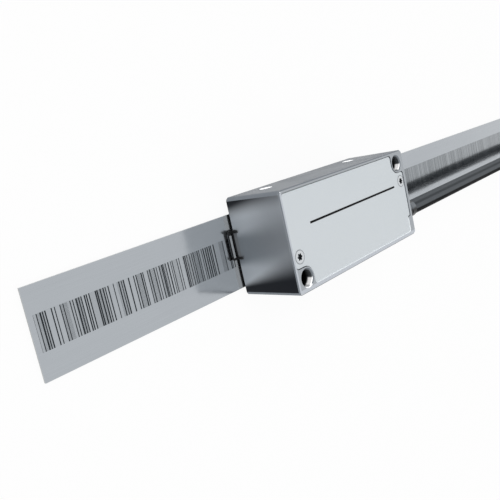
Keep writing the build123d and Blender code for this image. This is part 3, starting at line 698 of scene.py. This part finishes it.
def makeTrack(look):
    # lineShare of the steps hold one line, of an uneven width and at an uneven place in its step
    finish = startFinish("graduation", look)
    tree = finish["tree"]
    x = finish["axes"][0]
    pitch, widest = look["linePitch"], look["lineWidth"]
    step = calculate(tree, "DIVIDE", x, pitch)
    inside = product(tree, calculate(tree, "FRACT", step), pitch)
    offset = product(tree, scatter(tree, step, look["placeSeed"]), pitch - widest)
    fromLine = calculate(tree, "SUBTRACT", inside, offset)
    spread = ramp(tree, scatter(tree, step, look["widthSeed"]), 0.0, 1.0, look["thinnest"], 1.0)
    width = product(tree, spread, widest)
    used = below(tree, scatter(tree, step, look["shareSeed"]), look["lineShare"])
    line = product(tree, above(tree, fromLine, 0.0), below(tree, fromLine, width), used)
    fineStep = calculate(tree, "FRACT", calculate(tree, "DIVIDE", x, look["finePitch"]))
    field = scatter(tree, calculate(tree, "DIVIDE", x, look["fieldPitch"]), look["fieldSeed"])
    fine = product(tree, below(tree, fineStep, look["fineFill"]), ramp(tree, field, *look["fieldFade"]))
    colour = paint(tree, fine, finish["colour"], look["fineColour"])
    colour = paint(tree, line, colour, look["lineColour"])
    # Past the head the lines are too small to tell apart and merge to a grey
    finish["colour"] = paint(tree, ramp(tree, x, *look["farFade"]), colour, look["farColour"])
    return closeFinish(finish)


dress(cadNodes["graduation_track"], makeTrack(trackLook))
print("housing, cover and scale finished")


# Lead and sleeve: painted shade along the side that lies away from the tape, as far as the lead runs straight
roundShade = {"darkSide": (0.0, -0.944, 0.33), "straightTo": (25.0, 45.0), "bandBlur": 0.12}

# Lead jacket: extruded plastic with a soft sheen
jacketLook = plasticLook | roundShade | {
    "colour": (92, 96, 100), "patchColour": (96, 100, 104), "grain": (2.0, 6.0, 6.0), "patch": 8.0,
    "shade": 0.05, "roughness": (0.36, 0.44), "relief": 0.004, "fixed": {"Specular IOR Level": 0.01},
    "shadeColour": (12, 13, 15), "darkFade": (0.4, 0.6), "band": (-0.42, -0.08), "bandShare": 0.45,
}

# Sleeve: turned metal
sleeveLook = metalLook | roundShade | {
    "colour": (112, 117, 122), "patchColour": (102, 107, 112), "grain": (18.0, 1.2, 1.2), "roughness": (0.3, 0.4),
    "shadeColour": (14, 16, 18), "darkFade": (0.0, 0.4), "band": (-0.95, -0.5), "bandShare": 0.7,
}


def makeRound(name, look):
    # Painted shade by how far the surface faces darkSide, and partly so in a band on the lit side
    finish = startFinish(name, look)
    tree = finish["tree"]
    directions = {0: addNode(tree, "ShaderNodeNewGeometry").outputs["Normal"], 1: look["darkSide"]}
    facing = addNode(tree, "ShaderNodeVectorMath", directions, operation="DOT_PRODUCT").outputs["Value"]
    straight = ramp(tree, finish["axes"][0], *look["straightTo"], 1.0, 0.0)
    band = product(tree, within(tree, facing, look["band"], look["bandBlur"]), look["bandShare"])
    dark = product(tree, largest(tree, ramp(tree, facing, *look["darkFade"]), band), straight)
    finish["colour"] = paint(tree, dark, finish["colour"], look["shadeColour"])
    return closeFinish(finish)


leadCable.data.materials.append(makeRound("leadJacket", jacketLook))
dress(cadNodes["cable_sleeve"], makeRound("sleeveMetal", sleeveLook))
print("lead and sleeve finished")


# White floor and surroundings, soft light from above; a strength of 1 is the white of the background
studio = {
    "floorSize": 3.0, "floorDrop": 0.0003, "floorGlow": 0.93, "floorColour": (250, 250, 250),
    "skyLight": 0.62, "seenLight": 1.0,
    "lamps": [
        {"place": (-0.25, 0.22, 0.55), "size": 0.45, "watts": 0.9},
        {"place": (0.12, -0.35, 0.5), "size": 0.5, "watts": 0.5},
    ],
    "aim": (-0.09, 0.0, 0.0),
}


def seenDirectly(tree):
    # 1 for camera, glossy and transmission rays, so that metal and glass show the white too
    rays = addNode(tree, "ShaderNodeLightPath").outputs
    return largest(tree, rays["Is Glossy Ray"], rays["Is Transmission Ray"], rays["Is Camera Ray"])


def closeShader(tree, share, under, over, outputKind):
    # Shows over by its share, and under otherwise
    mix = addNode(tree, "ShaderNodeMixShader", {"Fac": share, 1: under.outputs[0], 2: over.outputs[0]})
    addNode(tree, outputKind, {"Surface": mix.outputs[0]})


def makeWorld(settings):
    world = bpy.data.worlds.new("surroundings")
    world.use_nodes = True
    tree = world.node_tree
    tree.nodes.clear()
    light = addNode(tree, "ShaderNodeBackground", {"Color": white, "Strength": settings["skyLight"]})
    seen = addNode(tree, "ShaderNodeBackground", {"Color": white, "Strength": settings["seenLight"]})
    closeShader(tree, seenDirectly(tree), light, seen, "ShaderNodeOutputWorld")
    bpy.context.scene.world = world


def makeFloor(settings):
    half = settings["floorSize"] / 2
    outline = ((-half, -half), (half, -half), (half, half), (-half, half))
    corners = [(x, y, -settings["floorDrop"]) for x, y in outline]
    mesh = bpy.data.meshes.new("floor")
    mesh.from_pydata(corners, [], [(0, 1, 2, 3)])
    floor = bpy.data.objects.new("floor", mesh)
    bpy.context.scene.collection.objects.link(floor)
    material = bpy.data.materials.new("whiteFloor")
    material.use_nodes = True
    tree = material.node_tree
    tree.nodes.clear()
    matt = addNode(tree, "ShaderNodeBsdfDiffuse", {"Color": tone(*settings["floorColour"])})
    glow = addNode(tree, "ShaderNodeEmission", {"Color": white, "Strength": settings["seenLight"]})
    share = product(tree, seenDirectly(tree), settings["floorGlow"])
    closeShader(tree, share, matt, glow, "ShaderNodeOutputMaterial")
    mesh.materials.append(material)


def addLamps(settings):
    for number, lamp in enumerate(settings["lamps"]):
        data = bpy.data.lights.new("softLamp" + str(number), "AREA")
        data.energy = lamp["watts"]
        data.size = lamp["size"]
        thing = bpy.data.objects.new(data.name, data)
        turn = (Vector(lamp["place"]) - Vector(settings["aim"])).to_track_quat("Z", "Y").to_matrix().to_4x4()
        thing.matrix_world = Matrix.Translation(lamp["place"]) @ turn
        thing.visible_glossy = False
        bpy.context.scene.collection.objects.link(thing)


makeWorld(studio)
makeFloor(studio)
addLamps(studio)
print("studio set")


bpy.context.scene.view_settings.view_transform = "Standard"
